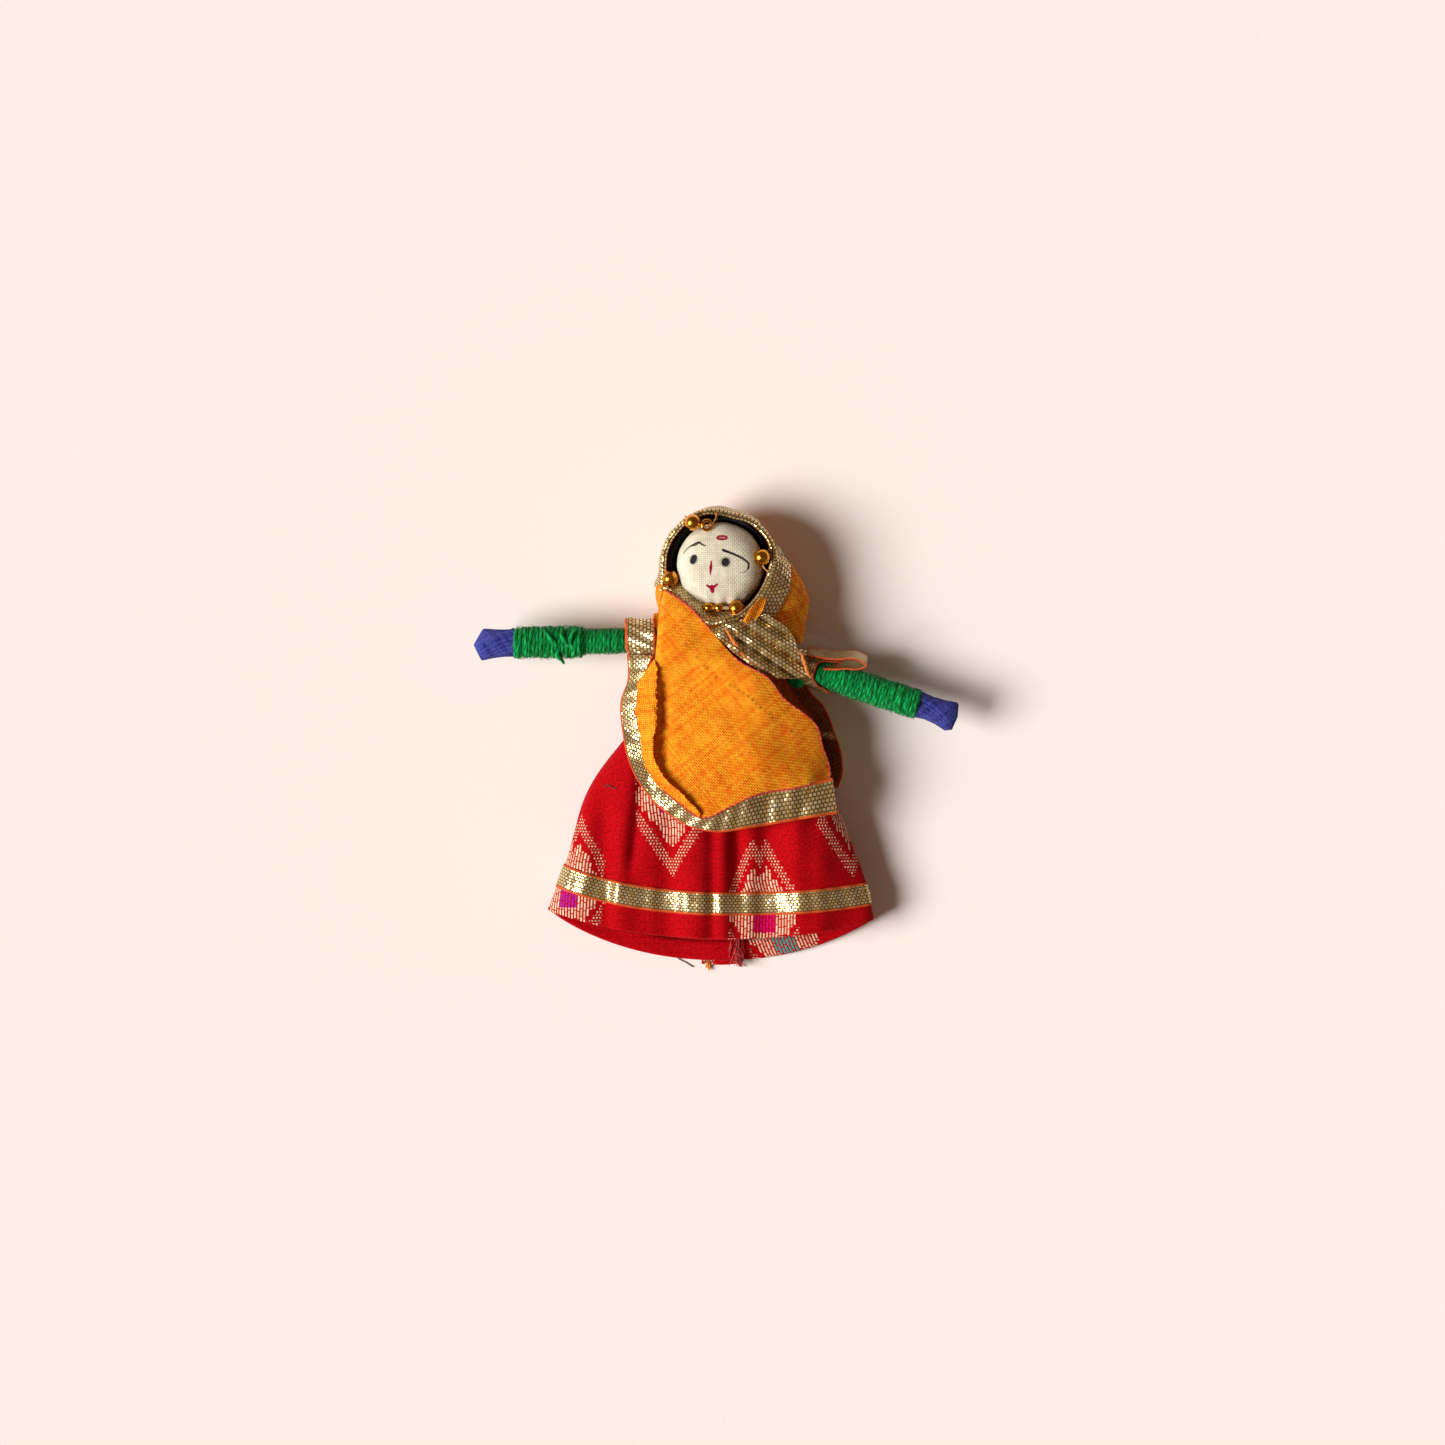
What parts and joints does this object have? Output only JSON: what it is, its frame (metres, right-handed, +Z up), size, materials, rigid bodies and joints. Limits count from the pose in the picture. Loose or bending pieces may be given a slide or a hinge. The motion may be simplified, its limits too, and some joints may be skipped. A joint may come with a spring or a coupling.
{
  "type": "rajasthani kathputli puppet",
  "caption": "Small cloth dancer puppet lying on its back: veiled head, bound yarn arms, flared brocade skirt with gold ribbon.",
  "frame": {"origin": "on the table, under the middle of the puppet's extents, as it lies on its back", "axes": "+Z up from the table through the face, +Y towards the top of the head, +X towards the puppet's left hand"},
  "size_m": [0.1018, 0.096, 0.0198],
  "materials": {
    "wood": "matt",
    "wire": "drawn",
    "orange_voile": "plain weave",
    "gold_ribbon": "woven metallic",
    "red_brocade": "figured twill",
    "cotton": "plain weave",
    "stuffing": "packed rag",
    "green_yarn": "fuzzy yarn",
    "blue_cotton": "plain weave",
    "black_cloth": "matt",
    "thread": "twisted",
    "gold_bead": "polished"
  },
  "bodies": {
    "torso": {"core_stick": "wood", "body_roll": "stuffing", "bodice_cloth": "red_brocade", "shoulder_wire": "wire", "neck_binding": "thread", "veil_front_drape": "orange_voile", "veil_lower_ribbon": "gold_ribbon", "veil_side_fold": "orange_voile", "veil_side_ribbon": "gold_ribbon", "veil_chest_ribbon": "gold_ribbon", "veil_back_layer": "orange_voile", "veil_back_ribbon": "gold_ribbon"},
    "neck": {"neck_peg": "wood", "neck_winding": "thread", "necklace_beads": "gold_bead", "necklace_thread": "thread"},
    "head": {"head_ball": "wood", "head_cover": "cotton", "hair_cloth": "black_cloth", "forehead_pendant": "gold_bead", "forehead_bead": "gold_bead", "ear_bead_right": "gold_bead", "ear_bead_left": "gold_bead", "veil_hood": "orange_voile", "veil_hood_ribbon": "gold_ribbon"},
    "skirt": {"skirt_cloth": "red_brocade", "skirt_turned_hem": "red_brocade", "skirt_ribbon": "gold_ribbon", "skirt_waist_binding": "thread", "skirt_seam_fringe": "red_brocade"},
    "right_shoulder": {"right_shoulder_knot": "thread"},
    "right_arm": {"right_arm_wire": "wire", "right_arm_yarn": "green_yarn", "right_arm_sleeve_ribbon": "gold_ribbon", "right_hand_cloth": "blue_cotton"},
    "left_shoulder": {"left_shoulder_knot": "thread"},
    "left_arm": {"left_arm_wire": "wire", "left_arm_yarn": "green_yarn", "left_arm_sleeve_ribbon": "gold_ribbon", "left_hand_cloth": "blue_cotton"}
  },
  "joints": [
    {"name": "neck_nod", "type": "hinge", "parent": "torso", "child": "neck", "pos_m": [0.0005, 0.0231, 0.0105], "axis": [1, 0, 0], "range_deg": [-5, 12]},
    {"name": "head_turn", "type": "hinge", "parent": "neck", "child": "head", "pos_m": [0.0005, 0.029, 0.0105], "axis": [0, 1, 0], "range_deg": [-15, 15]},
    {"name": "right_arm_forward", "type": "hinge", "parent": "torso", "child": "right_shoulder", "pos_m": [-0.0102, 0.0203, 0.0105], "axis": [-0.0175, 0.9998, 0], "range_deg": [-8, 25]},
    {"name": "right_arm_raise", "type": "hinge", "parent": "right_shoulder", "child": "right_arm", "pos_m": [-0.0102, 0.0203, 0.0105], "axis": [0, 0, -1], "range_deg": [-42, 38]},
    {"name": "left_arm_forward", "type": "hinge", "parent": "torso", "child": "left_shoulder", "pos_m": [0.011, 0.0168, 0.0105], "axis": [-0.309, -0.9511, 0], "range_deg": [-8, 25]},
    {"name": "left_arm_raise", "type": "hinge", "parent": "left_shoulder", "child": "left_arm", "pos_m": [0.011, 0.0168, 0.0105], "axis": [0, 0, 1], "range_deg": [-20, 20]},
    {"name": "skirt_sway", "type": "hinge", "parent": "torso", "child": "skirt", "pos_m": [0.0005, 0.009, 0.0105], "axis": [0, 0, 1], "range_deg": [-4, 4]}
  ]
}
